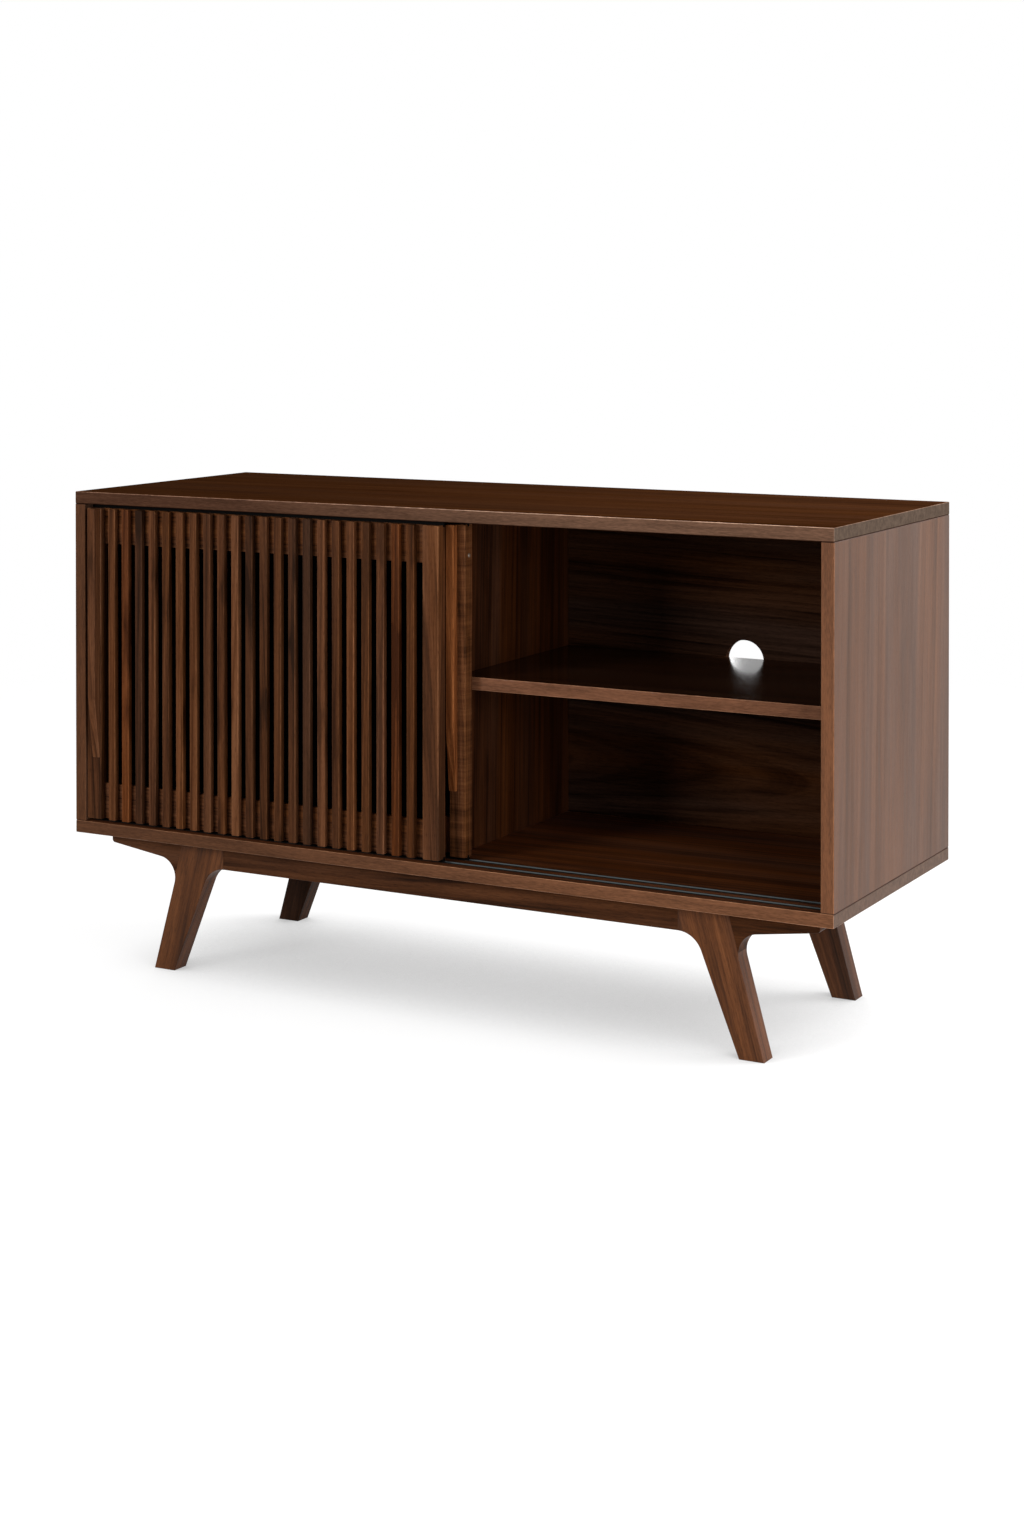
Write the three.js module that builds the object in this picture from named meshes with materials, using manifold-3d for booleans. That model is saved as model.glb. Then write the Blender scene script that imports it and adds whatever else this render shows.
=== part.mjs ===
// Media cabinet: a walnut case on two leg frames, with two slatted sliding doors.
//
// Millimetres, +Z up, front towards -Y, X along the width. The origin is on the floor, under the
// centre of the cabinet's overall box.
//
// Run it as a module: the default export is a THREE.Group with one named mesh for each piece.

import * as THREE from 'three';
import { ConvexGeometry } from 'three/addons/geometries/ConvexGeometry.js';
import { mergeVertices } from 'three/addons/utils/BufferGeometryUtils.js';
import Module from 'manifold-3d';

// ---------------------------------------------------------------- sizes

// Case
const caseWidth = 1200;
const caseDepth = 444;
const caseHeight = 507;
const panelThickness = 18; // top, bottom and sides
const dividerThickness = 30;
const backThickness = 12;
const backInset = 26; // rear edges of the case to the back panel
const shelfThickness = 18;
const shelfHeight = 234; // clear height below each shelf
const cableHoleDiameter = 60;
const cableHoleFromSide = 279; // hole centre to the inner face of the side panel
const cableHoleBelowShelfTop = 4; // hole centre to the shelf's top face
const glueLine = 0.1; // between faces that are glued or screwed together
const easedEdge = 0.8; // small chamfer on every board edge

// Doors
const doorOverlap = 40; // how far the two closed doors overlap at the middle
const doorThickness = 20;
const doorGapBelow = 4.3;
const doorGapAbove = 6.1;
const frontDoorSetback = 4; // case front to the front door
const frontDoorRest = 0.6; // left side panel to the front door, slid fully left
const rearDoorRest = 24.4; // left side panel to the rear door, slid left
const stileWidth = 25;
const railHeight = 52.5;
const slatCount = 22;
const slatWidth = 12;
const slatDepth = 9.5;
const slatEndGap = 13.8; // stile to the nearest slat
const backingThickness = 3; // black felt that closes the grille from behind
const interiorClearance = 2.75; // rear door to the divider and the shelves

// Pulls: bars on the stiles that thin out towards their lower end
const pullWidth = 12.5;
const pullInset = 0.5; // from the stile's slat side
const frontPullDepth = 14.5;
const rearPullDepth = 12;
const pullPassing = 1.25; // rear door's pull to the back of the front door
const pullTipDepth = 3.5;
const pullTipHeight = 92; // door's lower edge to the pull's lower end
const pullTaperLength = 90;

// Sliding gear: channels let into the panels, and runner strips on the doors
const channelWidth = 8;
const channelDepth = 6;
const channelWall = 1;
const channelFlange = 1.2;
const channelFlangeThickness = 0.8;
const runnerClearance = 0.6; // runner to each channel wall
const runnerLift = 0.3; // runner to the floor of the lower channel
const runnerPlay = 1.8; // runner to the roof of the upper channel, to lift the door out
const runnerSetIn = 3; // depth of the strip in the door's edge
const frontRunnerOffset = 16.5; // front face of the door to the runner's middle
const rearRunnerOffset = 10;
const bumperDiameter = 6;
const bumperThickness = 2; // at the crown of its dome
const bumperRim = 0.5;
const bumperDrop = 43; // top of the door to the bumper

// Leg frames: an apron, two splayed legs and two wings, glued up and cut to one outline
const legHeight = 198;
const frameThickness = 30;
const frameSetback = 42; // case front to the front frame, and case back to the rear frame
const wingInset = 35; // case end to the tip of the wing
const wingTipDrop = 19;
const wingRootDrop = 36;
const footInset = 112.5; // case end to the foot
const footWidth = 35.5;
const legHeadInset = 157; // case end to the corner where the wing meets the leg
const legHeadWidth = 54.5;
const apronDrop = 39.5;
const wingTipRadius = 5;
const wingFillet = 29;
const apronFillet = 36;
const wingJointOffset = 1.5; // leg's outer edge line to the wing's glue joint

// Facets
const filletFacets = 20; // on each full fillet
const holeFacets = 48;
const bumperFacets = 24;
const domeFacets = 5; // rim to crown of the bumper

// ---------------------------------------------------------------- places

const innerLeft = panelThickness;
const innerRight = caseWidth - panelThickness;
const innerWidth = innerRight - innerLeft;
const floorTop = panelThickness; // top face of the bottom panel
const roofUnder = caseHeight - panelThickness; // underside of the top panel
const backFront = caseDepth - backInset - backThickness;

const doorWidth = (innerWidth + doorOverlap) / 2;
const doorBottom = floorTop + doorGapBelow;
const doorTop = roofUnder - doorGapAbove;
const doorHeight = doorTop - doorBottom;
const frontDoorY = frontDoorSetback;
const rearDoorY = frontDoorY + doorThickness + pullPassing + rearPullDepth;
const interiorFront = rearDoorY + doorThickness + interiorClearance;

const dividerLeft = (caseWidth - dividerThickness) / 2;
const dividerRight = dividerLeft + dividerThickness;
const shelfUnder = floorTop + shelfHeight;
const shelfTop = shelfUnder + shelfThickness;

const grooveHalfWidth = channelWidth / 2 + glueLine;
const frontChannelY = frontDoorY + frontRunnerOffset;
const rearChannelY = rearDoorY + rearRunnerOffset;
const runnerThickness = channelWidth - 2 * channelWall - 2 * runnerClearance;

// The front pull stands out past the case front, so the overall box is a little deeper.
const boxFront = Math.min(0, frontDoorY - frontPullDepth);
const boxMiddle = (boxFront + caseDepth) / 2;

// ---------------------------------------------------------------- finishes

const wood = (color, roughness) =>
  new THREE.MeshStandardMaterial({ color, roughness, metalness: 0 });
const caseWalnut = wood(0x6b4a38, 0.45);
const insideWalnut = wood(0x4a2f22, 0.5);
const doorWalnut = wood(0x5c3826, 0.5);
const pullWalnut = wood(0x63402d, 0.45);
const legWalnut = wood(0x55382a, 0.5);
const trackPlastic = wood(0x4b4d50, 0.35);
const runnerNylon = wood(0x17171a, 0.5);
const backingFelt = wood(0x0b0a09, 0.95);
const bumperRubber = wood(0xa0907f, 0.3);

// ---------------------------------------------------------------- shapes

const wasm = await Module();
wasm.setup();

function toSolid(geometry) {
  const bare = geometry.index ? geometry.toNonIndexed() : geometry.clone();
  bare.deleteAttribute('normal');
  bare.deleteAttribute('uv');
  const merged = mergeVertices(bare, 1e-4);
  return new wasm.Manifold(new wasm.Mesh({
    numProp: 3,
    vertProperties: new Float32Array(merged.attributes.position.array),
    triVerts: new Uint32Array(merged.index.array),
  }));
}

function toGeometry(solid) {
  const { vertProperties, triVerts } = solid.getMesh();
  const geometry = new THREE.BufferGeometry();
  geometry.setAttribute('position', new THREE.BufferAttribute(vertProperties, 3));
  geometry.setIndex(new THREE.BufferAttribute(triVerts, 1));
  geometry.computeVertexNormals();
  return geometry;
}

function piece(name, geometry, material) {
  const mesh = new THREE.Mesh(geometry, material);
  mesh.name = name;
  return mesh;
}

// A board with all twelve edges chamfered, between two opposite corners.
function boardGeometry(low, high, ease = easedEdge) {
  const middle = low.map((value, axis) => (value + high[axis]) / 2);
  const half = low.map((value, axis) => (high[axis] - value) / 2);
  const corners = [];
  for (const sx of [-1, 1]) {
    for (const sy of [-1, 1]) {
      for (const sz of [-1, 1]) {
        for (let flush = 0; flush < 3; flush += 1) {
          const reach = half.map((value, axis) => (axis === flush ? value : value - ease));
          corners.push(new THREE.Vector3(sx * reach[0], sy * reach[1], sz * reach[2]));
        }
      }
    }
  }
  return new ConvexGeometry(corners).translate(...middle);
}

function board(name, low, high, material) {
  return piece(name, boardGeometry(low, high), material);
}

function cutter(low, high) {
  const size = high.map((value, axis) => value - low[axis]);
  const middle = low.map((value, axis) => value + size[axis] / 2);
  return toSolid(new THREE.BoxGeometry(...size).translate(...middle));
}

// A closed outline of straight stretches, with an arc at each corner that has a radius.
function filletedShape(corners) {
  const shape = new THREE.Shape();
  corners.forEach((corner, index) => {
    const point = new THREE.Vector2(corner.x, corner.y);
    const before = corners.at(index - 1);
    const after = corners[(index + 1) % corners.length];
    const back = new THREE.Vector2(before.x, before.y).sub(point).normalize();
    const ahead = new THREE.Vector2(after.x, after.y).sub(point).normalize();
    const start = point.clone();
    if (corner.radius) {
      const halfAngle = Math.acos(back.dot(ahead)) / 2;
      const tangent = corner.radius / Math.tan(halfAngle);
      start.addScaledVector(back, tangent);
      const toCentre = back.clone().add(ahead).normalize();
      const centre = point.clone().addScaledVector(toCentre, corner.radius / Math.sin(halfAngle));
      const end = point.clone().addScaledVector(ahead, tangent);
      const from = Math.atan2(start.y - centre.y, start.x - centre.x);
      const to = Math.atan2(end.y - centre.y, end.x - centre.x);
      const clockwise = back.cross(ahead) > 0;
      if (index === 0) shape.moveTo(start.x, start.y);
      else shape.lineTo(start.x, start.y);
      shape.absarc(centre.x, centre.y, corner.radius, from, to, clockwise);
    } else if (index === 0) {
      shape.moveTo(start.x, start.y);
    } else {
      shape.lineTo(start.x, start.y);
    }
  });
  shape.closePath();
  return shape;
}

// Extrudes an outline by length, with chamfered ends and edges that stay inside the outline.
function extrude(shape, length, ease) {
  return new THREE.ExtrudeGeometry(shape, {
    depth: length - 2 * ease,
    bevelEnabled: ease > 0,
    bevelThickness: ease,
    bevelSize: ease,
    bevelOffset: -ease,
    bevelSegments: 1,
    curveSegments: filletFacets,
  }).translate(0, 0, ease);
}

// Turns an extrusion of a (y, z) outline to run along +X.
const alongX = new THREE.Matrix4().makeBasis(
  new THREE.Vector3(0, 1, 0), new THREE.Vector3(0, 0, 1), new THREE.Vector3(1, 0, 0));

const polygon = (points) => new THREE.Shape(points.map(([a, b]) => new THREE.Vector2(a, b)));

// ---------------------------------------------------------------- case

function groovedPanel(name, low, high, faceHeight, inward) {
  let solid = toSolid(boardGeometry(low, high));
  const bottom = faceHeight - inward * (channelDepth + glueLine);
  const past = faceHeight + inward;
  for (const middle of [frontChannelY, rearChannelY]) {
    solid = solid.subtract(cutter(
      [innerLeft, middle - grooveHalfWidth, Math.min(bottom, past)],
      [innerRight, middle + grooveHalfWidth, Math.max(bottom, past)]));
  }
  return piece(name, toGeometry(solid), caseWalnut);
}

// A U channel with two thin flanges. Its mouth faces along inward from the panel's face.
function channel(name, middle, faceHeight, inward) {
  const outer = channelWidth / 2;
  const inner = outer - channelWall;
  const lip = outer + channelFlange;
  const seat = glueLine;
  const mouth = seat + channelFlangeThickness;
  const half = [[inner, mouth], [lip, mouth], [lip, seat], [outer, seat], [outer, -channelDepth]];
  const mirrored = half.map(([y, z]) => [-y, z]).reverse();
  const floor = channelWall - channelDepth;
  const section = [...half, ...mirrored, [-inner, floor], [inner, floor]];
  const placed = section.map(([y, z]) => [middle + y, faceHeight + inward * z]);
  const length = innerWidth - 2 * glueLine;
  const geometry = extrude(polygon(placed), length, 0).applyMatrix4(alongX);
  geometry.translate(innerLeft + glueLine, 0, 0);
  return piece(name, geometry, trackPlastic);
}

function backPanel() {
  const low = [innerLeft + glueLine, backFront, floorTop + glueLine];
  const high = [innerRight - glueLine, backFront + backThickness, roofUnder - glueLine];
  let solid = toSolid(boardGeometry(low, high));
  const drill = new THREE.CylinderGeometry(
    cableHoleDiameter / 2, cableHoleDiameter / 2, 2 * backThickness, holeFacets);
  const height = shelfTop - cableHoleBelowShelfTop;
  for (const x of [innerLeft + cableHoleFromSide, innerRight - cableHoleFromSide]) {
    const placed = drill.clone().translate(x, backFront + backThickness / 2, height);
    solid = solid.subtract(toSolid(placed));
  }
  return piece('back_panel', toGeometry(solid), insideWalnut);
}

function shelf(name, left, right) {
  return board(name,
    [left + glueLine, interiorFront, shelfUnder],
    [right - glueLine, backFront - glueLine, shelfTop], insideWalnut);
}

function sidePanel(name, left) {
  return board(name,
    [left, 0, floorTop + glueLine],
    [left + panelThickness, caseDepth, roofUnder - glueLine], caseWalnut);
}

function makeCase() {
  const group = new THREE.Group();
  group.add(groovedPanel('bottom_panel',
    [0, 0, 0], [caseWidth, caseDepth, floorTop], floorTop, 1));
  group.add(groovedPanel('top_panel',
    [0, 0, roofUnder], [caseWidth, caseDepth, caseHeight], roofUnder, -1));
  group.add(sidePanel('side_panel_left', 0));
  group.add(sidePanel('side_panel_right', innerRight));
  group.add(board('centre_divider',
    [dividerLeft, interiorFront, floorTop + glueLine],
    [dividerRight, backFront - glueLine, roofUnder - glueLine], insideWalnut));
  group.add(backPanel());
  group.add(shelf('shelf_left', innerLeft, dividerLeft));
  group.add(shelf('shelf_right', dividerRight, innerRight));
  group.add(channel('bottom_track_front', frontChannelY, floorTop, 1));
  group.add(channel('bottom_track_rear', rearChannelY, floorTop, 1));
  group.add(channel('top_track_front', frontChannelY, roofUnder, -1));
  group.add(channel('top_track_rear', rearChannelY, roofUnder, -1));
  return group;
}

// ---------------------------------------------------------------- doors
// A door is drawn from its own lower left front corner, and its group puts it in the case.

function doorStile(left) {
  return boardGeometry([left, 0, 0], [left + stileWidth, doorThickness, doorHeight]);
}

function doorRail(low) {
  return boardGeometry(
    [stileWidth + glueLine, slatDepth + glueLine, low],
    [doorWidth - stileWidth - glueLine, doorThickness, low + railHeight]);
}

// A slat stands in front of both rails; extra depth sinks its back into them where they are one.
function slatGeometry(index, extraDepth = 0) {
  const first = stileWidth + slatEndGap;
  const span = doorWidth - 2 * first;
  const pitch = (span - slatWidth) / (slatCount - 1);
  const left = first + index * pitch;
  return boardGeometry([left, 0, 0], [left + slatWidth, slatDepth + extraDepth, doorHeight]);
}

// The runner strips sit in grooves along the door's lower and upper edges.
function runnerGroove(middle, edge, outward) {
  const half = runnerThickness / 2 + glueLine;
  const deep = edge - outward * (runnerSetIn + glueLine);
  const past = edge + outward;
  return cutter(
    [-1, middle - half, Math.min(deep, past)],
    [doorWidth + 1, middle + half, Math.max(deep, past)]);
}

function runner(name, middle, low, high) {
  return board(name,
    [0, middle - runnerThickness / 2, low],
    [doorWidth, middle + runnerThickness / 2, high], runnerNylon);
}

// The pull is a bar of full depth that tapers to a thin square lower end.
function pull(name, left, depth) {
  const crease = pullTipHeight + pullTaperLength;
  const profile = polygon([
    [-glueLine, pullTipHeight],
    [-glueLine, doorHeight],
    [-depth, doorHeight],
    [-depth, crease],
    [-pullTipDepth, pullTipHeight],
  ]);
  const geometry = extrude(profile, pullWidth, easedEdge).applyMatrix4(alongX);
  return piece(name, geometry.translate(left, 0, 0), pullWalnut);
}

// The bumper is a low dome on a flat base, turned round its own axis.
function bumper(name) {
  const radius = bumperDiameter / 2;
  const profile = [new THREE.Vector2(0, 0), new THREE.Vector2(radius, 0)];
  for (let step = 0; step <= domeFacets; step += 1) {
    const angle = (step / domeFacets) * (Math.PI / 2);
    const across = step === domeFacets ? 0 : radius * Math.cos(angle);
    const along = bumperRim + (bumperThickness - bumperRim) * Math.sin(angle);
    profile.push(new THREE.Vector2(across, along));
  }
  const turned = new THREE.LatheGeometry(profile, bumperFacets).rotateZ(-Math.PI / 2);
  turned.translate(doorWidth + glueLine, doorThickness / 2, doorHeight - bumperDrop);
  return piece(name, toGeometry(toSolid(turned)), bumperRubber);
}

// Stiles, rails, backing and runner strips, which both doors share. The rails come back as solids,
// because one door carries loose slats on them and the other is made up as one grille.
function doorFrame(prefix, runnerMiddle) {
  const grooves = runnerGroove(runnerMiddle, 0, -1).add(
    runnerGroove(runnerMiddle, doorHeight, 1));
  const grooved = (geometry) => toSolid(geometry).subtract(grooves);
  const stile = (side, left) => piece(
    `${prefix}_stile_${side}`, toGeometry(grooved(doorStile(left))), doorWalnut);
  const stiles = [stile('left', 0), stile('right', doorWidth - stileWidth)];
  const railBottom = grooved(doorRail(0));
  const railTop = grooved(doorRail(doorHeight - railHeight));
  const backing = board(`${prefix}_backing`,
    [stileWidth + glueLine, doorThickness - backingThickness, railHeight + glueLine],
    [doorWidth - stileWidth - glueLine, doorThickness, doorHeight - railHeight - glueLine],
    backingFelt);
  const channelFloor = channelDepth - channelWall;
  const lowerEnd = -doorGapBelow - channelFloor + runnerLift;
  const upperEnd = doorHeight + doorGapAbove + channelFloor - runnerPlay;
  const runners = [
    runner(`${prefix}_runner_bottom`, runnerMiddle, lowerEnd, runnerSetIn),
    runner(`${prefix}_runner_top`, runnerMiddle, doorHeight - runnerSetIn, upperEnd),
  ];
  return { frame: [...stiles, backing, ...runners], railBottom, railTop, grooves };
}

function makeFrontDoor() {
  const group = new THREE.Group();
  const { frame, railBottom, railTop } = doorFrame('front_door', frontRunnerOffset);
  group.add(...frame);
  group.add(piece('front_door_rail_bottom', toGeometry(railBottom), doorWalnut));
  group.add(piece('front_door_rail_top', toGeometry(railTop), doorWalnut));
  for (let index = 0; index < slatCount; index += 1) {
    const number = String(index + 1).padStart(2, '0');
    group.add(piece(`front_door_slat_${number}`, slatGeometry(index), doorWalnut));
  }
  group.add(pull('front_door_pull', stileWidth - pullInset - pullWidth, frontPullDepth));
  group.position.set(innerLeft + frontDoorRest, frontDoorY, doorBottom);
  return group;
}

function makeRearDoor() {
  const group = new THREE.Group();
  const { frame, railBottom, railTop, grooves } = doorFrame('rear_door', rearRunnerOffset);
  group.add(...frame);
  let grille = railBottom.add(railTop);
  for (let index = 0; index < slatCount; index += 1) {
    grille = grille.add(toSolid(slatGeometry(index, glueLine)));
  }
  group.add(piece('rear_door_grille', toGeometry(grille.subtract(grooves)), doorWalnut));
  const pullLeft = doorWidth - stileWidth + pullInset;
  group.add(pull('rear_door_pull', pullLeft, rearPullDepth));
  group.add(bumper('rear_door_bumper'));
  group.position.set(innerLeft + rearDoorRest, rearDoorY, doorBottom);
  return group;
}

// ---------------------------------------------------------------- leg frames
// A frame's outline is drawn in (x, z) from the case's left end and underside.

const legSlope = (legHeadInset - footInset) / (legHeight - wingRootDrop);
const innerSlope = (legHeadInset + legHeadWidth - footInset - footWidth) / (legHeight - apronDrop);

// Where the apron's straight lower edge begins, past its fillet.
const apronJoint = legHeadInset + legHeadWidth
  + apronFillet / Math.tan((Math.PI - Math.atan(1 / innerSlope)) / 2);

function frameOutline() {
  const top = -glueLine;
  const left = [
    { x: wingInset, y: top },
    { x: wingInset, y: -wingTipDrop, radius: wingTipRadius },
    { x: legHeadInset, y: -wingRootDrop, radius: wingFillet },
    { x: footInset, y: -legHeight },
    { x: footInset + footWidth, y: -legHeight },
    { x: legHeadInset + legHeadWidth, y: -apronDrop, radius: apronFillet },
  ];
  const right = left.map((corner) => ({ ...corner, x: caseWidth - corner.x })).reverse();
  return filletedShape([...left, ...right]);
}

// One slanted glue joint and one upright one split each end of the frame into wing, leg and apron.
function frameRegions() {
  const above = 1;
  const below = -legHeight - 1;
  const jointX = (z) => footInset - wingJointOffset + (z + legHeight) * legSlope;
  const half = glueLine / 2;
  const wing = [
    [0, above], [0, below],
    [jointX(below) - half, below], [jointX(above) - half, above],
  ];
  const leg = [
    [jointX(above) + half, above], [jointX(below) + half, below],
    [apronJoint - half, below], [apronJoint - half, above],
  ];
  const apron = [
    [apronJoint + half, above], [apronJoint + half, below],
    [caseWidth - apronJoint - half, below], [caseWidth - apronJoint - half, above],
  ];
  const mirror = (points) => points.map(([x, z]) => [caseWidth - x, z]).reverse();
  return {
    wing_left: wing,
    leg_left: leg,
    apron,
    leg_right: mirror(leg),
    wing_right: mirror(wing),
  };
}

function makeLegFrame(prefix, front) {
  const group = new THREE.Group();
  const blank = toSolid(extrude(frameOutline(), frameThickness, easedEdge));
  for (const [part, region] of Object.entries(frameRegions())) {
    const slab = extrude(polygon(region), frameThickness + 2, 0).translate(0, 0, -1);
    const solid = blank.intersect(toSolid(slab));
    group.add(piece(`${prefix}_${part}`, toGeometry(solid), legWalnut));
  }
  group.rotation.x = Math.PI / 2;
  group.position.y = front + frameThickness;
  return group;
}

function makeBase() {
  const group = new THREE.Group();
  group.add(makeLegFrame('front_frame', frameSetback));
  group.add(makeLegFrame('rear_frame', caseDepth - frameSetback - frameThickness));
  return group;
}

// ---------------------------------------------------------------- cabinet

const cabinet = new THREE.Group();
cabinet.name = 'media_cabinet';
cabinet.add(makeCase(), makeFrontDoor(), makeRearDoor(), makeBase());
cabinet.position.set(-caseWidth / 2, -boxMiddle, legHeight);
cabinet.updateMatrixWorld(true);

export default cabinet;
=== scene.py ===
# %% [markdown]
# # A walnut media cabinet
# The cabinet is a low case on two leg frames. Two slatted doors slide in tracks, and a shelf
# divides each bay. Every board is already modelled at its real size, so this script does what a
# finisher would do: it rounds the sharp corners, gives each board its own cut of walnut, and sets
# the cabinet in a plain studio.
#
# Each step starts with a note on the real thing, on the ways to make it in Blender, and on why
# this way was chosen. All lengths are metres, as everywhere in Blender.

import math

import bpy
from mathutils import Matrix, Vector


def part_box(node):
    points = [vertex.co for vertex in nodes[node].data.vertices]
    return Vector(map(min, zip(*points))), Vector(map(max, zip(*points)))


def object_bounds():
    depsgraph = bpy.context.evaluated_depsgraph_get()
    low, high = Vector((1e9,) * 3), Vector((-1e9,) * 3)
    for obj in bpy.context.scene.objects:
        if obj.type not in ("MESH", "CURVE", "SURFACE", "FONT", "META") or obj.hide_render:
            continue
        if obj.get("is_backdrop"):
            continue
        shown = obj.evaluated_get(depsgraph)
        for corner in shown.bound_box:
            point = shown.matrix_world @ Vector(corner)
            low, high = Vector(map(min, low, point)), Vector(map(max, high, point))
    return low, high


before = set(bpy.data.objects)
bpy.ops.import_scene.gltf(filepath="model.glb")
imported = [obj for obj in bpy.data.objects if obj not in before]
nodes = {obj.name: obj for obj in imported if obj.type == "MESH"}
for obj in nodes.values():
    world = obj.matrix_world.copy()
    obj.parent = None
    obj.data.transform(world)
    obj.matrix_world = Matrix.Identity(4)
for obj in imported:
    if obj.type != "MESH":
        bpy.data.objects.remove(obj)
cad_low, cad_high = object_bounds()
cad_size = [round(size, 4) for size in cad_high - cad_low]
print("cabinet", cad_size, "metres, in", len(nodes), "nodes")

# %% [markdown]
# ## Finding the way around the case
# A joiner measures from the boards and not from the room. So does every later step: `middle_of`
# gives the centre of a board, and `named` collects the boards whose names start alike. Written
# coordinates would be shorter, but they would go wrong as soon as a board changed its size.

# %% Places and names
MM = 0.001


def middle_of(name):
    low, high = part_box(name)
    return (low + high) / 2


def named(*starts):
    return [name for name in sorted(nodes) if name.startswith(starts)]


front_slats = named("front_door_slat")
slat_pitch = middle_of(front_slats[1]).x - middle_of(front_slats[0]).x
print("slats", len(front_slats), "at a pitch of", round(slat_pitch / MM, 2), "mm")

# %% [markdown]
# ## Softened corners
# Nobody leaves the corner of a walnut board sharp: a few strokes of sandpaper turn it into a
# small round that catches the light as a thin line. The corners could be beveled by hand in edit
# mode, board by board, but a stack of live modifiers does all of them alike and can be changed
# later. Weld joins the loose triangles, Decimate clears the flat ones away so that only real
# edges are left, Bevel rounds those, and Weighted Normal keeps the wide faces looking flat. The
# top and the bottom are handled most and get the widest round. Moulded parts stay crisp.

# %% Round the corners of every board
SANDED_ROUND = 0.8 * MM
HANDLED_ROUND = 1.2 * MM
MOULDED_ROUND = 0.15 * MM
SAME_POINT = 0.01 * MM
STILL_FLAT = math.radians(0.5)
A_CORNER = math.radians(25)


def soften(name, width):
    board = nodes[name]
    weld = board.modifiers.new("join_triangles", "WELD")
    weld.merge_threshold = SAME_POINT
    clear = board.modifiers.new("clear_flat_edges", "DECIMATE")
    clear.decimate_type = "DISSOLVE"
    clear.angle_limit = STILL_FLAT
    round_over = board.modifiers.new("sanded_round", "BEVEL")
    round_over.width = width
    round_over.segments = 2
    round_over.limit_method = "ANGLE"
    round_over.angle_limit = A_CORNER
    round_over.use_clamp_overlap = True
    flat = board.modifiers.new("flat_faces", "WEIGHTED_NORMAL")
    flat.keep_sharp = False


tracks = named("bottom_track", "top_track")
runners = [name for name in sorted(nodes) if "runner" in name]
moulded = tracks + runners + ["rear_door_bumper"]
boards = [name for name in sorted(nodes) if name not in moulded]
for name in boards:
    soften(name, HANDLED_ROUND if name in ("top_panel", "bottom_panel") else SANDED_ROUND)
for name in moulded:
    soften(name, MOULDED_ROUND)
print("rounded", len(boards), "boards and", len(moulded), "mouldings")

# %% [markdown]
# ## Building shader nodes
# A material is a graph of nodes. It can be drawn by hand in the Shader Editor, and in code it
# takes three lines for each node. A few helpers keep that short: `add` makes a node and fills its
# sockets with plain values or with links, `calculate` makes a Math node, and `vectors`, `split`,
# `scaled` and `length` do sums with vectors.

# %% Helpers for sums
def add(tree, kind, sockets=None, **settings):
    made = tree.nodes.new(kind)
    for key, value in settings.items():
        setattr(made, key, value)
    for key, value in (sockets or {}).items():
        if isinstance(value, bpy.types.NodeSocket):
            tree.links.new(value, made.inputs[key])
        else:
            made.inputs[key].default_value = value
    return made


def calculate(tree, operation, *values, clamp=False):
    sockets = dict(enumerate(values))
    return add(tree, "ShaderNodeMath", sockets, operation=operation, use_clamp=clamp).outputs[0]


def vectors(tree, operation, *values):
    sockets = dict(enumerate(values))
    return add(tree, "ShaderNodeVectorMath", sockets, operation=operation).outputs[0]


def split(tree, vector):
    """The X, Y and Z outputs of a vector."""
    return add(tree, "ShaderNodeSeparateXYZ", {0: vector}).outputs


def scaled(tree, vector, factor):
    made = add(tree, "ShaderNodeVectorMath", {0: vector}, operation="SCALE")
    tree.links.new(factor, made.inputs["Scale"])
    return made.outputs[0]


def length(tree, vector):
    made = add(tree, "ShaderNodeVectorMath", {0: vector}, operation="LENGTH")
    return made.outputs["Value"]


print("helpers for sums ready")

# %% [markdown]
# ## Noise, ranges and colours
# Timber is irregular everywhere, and noise is what makes it so. `noise` gives a Noise Texture
# that is stretched along the grain. Its scales are waves per metre: along the grain, then twice
# across. `remap` picks a range out of it with a Map Range node, and `mix` puts it to use as the
# factor between two colours.

# %% Helpers for noise and colour
def noise(tree, vector, waves, detail=2.0, roughness=0.5, output=0):
    """Noise that is stretched by giving a different scale to each direction."""
    stretched = vectors(tree, "MULTIPLY", vector, waves)
    sockets = {"Vector": stretched, "Scale": 1.0, "Detail": detail, "Roughness": roughness}
    return add(tree, "ShaderNodeTexNoise", sockets).outputs[output]


def around_zero(tree, value):
    return calculate(tree, "SUBTRACT", value, 0.5)


def remap(tree, value, low, high, to_low=0.0, to_high=1.0, smooth=False):
    sockets = {"Value": value, 1: low, 2: high, 3: to_low, 4: to_high}
    kind = "SMOOTHSTEP" if smooth else "LINEAR"
    return add(tree, "ShaderNodeMapRange", sockets, interpolation_type=kind).outputs[0]


def solid(colour):
    """A colour socket wants a fourth number, which is 1 for a solid colour."""
    return (*colour[:3], 1.0)


def mix(tree, factor, first, second, blend="MIX"):
    made = add(tree, "ShaderNodeMix", {0: factor}, data_type="RGBA", blend_type=blend)
    for socket, value in ((6, first), (7, second)):
        if isinstance(value, tuple):
            made.inputs[socket].default_value = solid(value)
        else:
            tree.links.new(value, made.inputs[socket])
    return made.outputs[2]


print("helpers for noise and colour ready")

# %% [markdown]
# ## Node groups
# Grain, wear and lippings show on many boards, each time with other values. Copying their nodes
# into every material would work, but then a correction has to be made in every copy. A node
# group is built once, and each material places it with its own values. `group` makes one with
# named sockets, `give` links its results, and `place` puts it into a material.

# %% Helpers for node groups
FLOAT = "NodeSocketFloat"
VECTOR = "NodeSocketVector"
COLOUR = "NodeSocketColor"


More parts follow.
